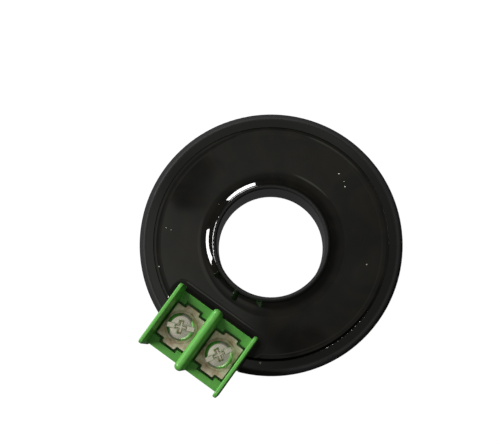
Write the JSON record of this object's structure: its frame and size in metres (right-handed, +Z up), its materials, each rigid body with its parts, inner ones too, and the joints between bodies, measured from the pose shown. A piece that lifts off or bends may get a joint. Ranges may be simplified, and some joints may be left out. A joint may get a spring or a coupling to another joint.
{
  "type": "current transformer",
  "caption": "Ring current transformer: black potted ring case round a bore, with a green screw terminal block set in its edge.",
  "frame": {"origin": "centre of the bore on the base face", "axes": "+Z up along the bore's axis, the terminal block stands towards -Y with its length along X"},
  "size_m": [0.057, 0.0619, 0.0215],
  "materials": {
    "black_case": "glossy moulded ABS",
    "black_resin": "cast epoxy, self-levelled and glossy",
    "green_nylon": "moulded PA66, satin gloss",
    "core_steel": "wound strip, bare edges",
    "core_insulation": "wrapped polyester tape",
    "enamelled_copper": "copper under clear enamel",
    "winding_insulation": "wrapped polyester tape",
    "sleeving": "extruded PTFE sleeve",
    "solder": "bright solidified solder",
    "tinned_brass": "stamped brass strip, tin plated",
    "nickel_plate": "stamped steel, nickel plated",
    "nickel_screw": "cold-headed steel, bright nickel plated"
  },
  "bodies": {
    "case": {"case": "black_case", "resin_fill": "black_resin", "terminal_housing": "green_nylon", "core_ring": "core_steel", "core_tape": "core_insulation", "secondary_winding": "enamelled_copper", "winding_tape": "winding_insulation", "lead_wire_1": "enamelled_copper", "lead_sleeve_1": "sleeving", "solder_joint_1": "solder", "terminal_contact_1": "tinned_brass", "lead_wire_2": "enamelled_copper", "lead_sleeve_2": "sleeving", "solder_joint_2": "solder", "terminal_contact_2": "tinned_brass"},
    "clamp_1": {"clamp_plate_1": "nickel_plate"},
    "screw_1": {"terminal_screw_1": "nickel_screw"},
    "clamp_2": {"clamp_plate_2": "nickel_plate"},
    "screw_2": {"terminal_screw_2": "nickel_screw"}
  },
  "joints": [
    {"name": "clamp_1_lift", "type": "slide", "parent": "case", "child": "clamp_1", "axis": [0, 0, 1], "range_m": [0, 0.0025]},
    {"name": "screw_1_turn", "type": "hinge", "parent": "clamp_1", "child": "screw_1", "pos_m": [-0.005, -0.02595, 0.0126], "axis": [0, 0, 1], "range_deg": [0, 1800]},
    {"name": "clamp_2_lift", "type": "slide", "parent": "case", "child": "clamp_2", "axis": [0, 0, 1], "range_m": [0, 0.0025]},
    {"name": "screw_2_turn", "type": "hinge", "parent": "clamp_2", "child": "screw_2", "pos_m": [0.005, -0.02595, 0.0126], "axis": [0, 0, 1], "range_deg": [0, 1800]}
  ],
  "couplings": [
    {"joint": "screw_1_turn", "follows": "clamp_1_lift", "rad_per_m": 12566},
    {"joint": "screw_2_turn", "follows": "clamp_2_lift", "rad_per_m": 12566}
  ]
}
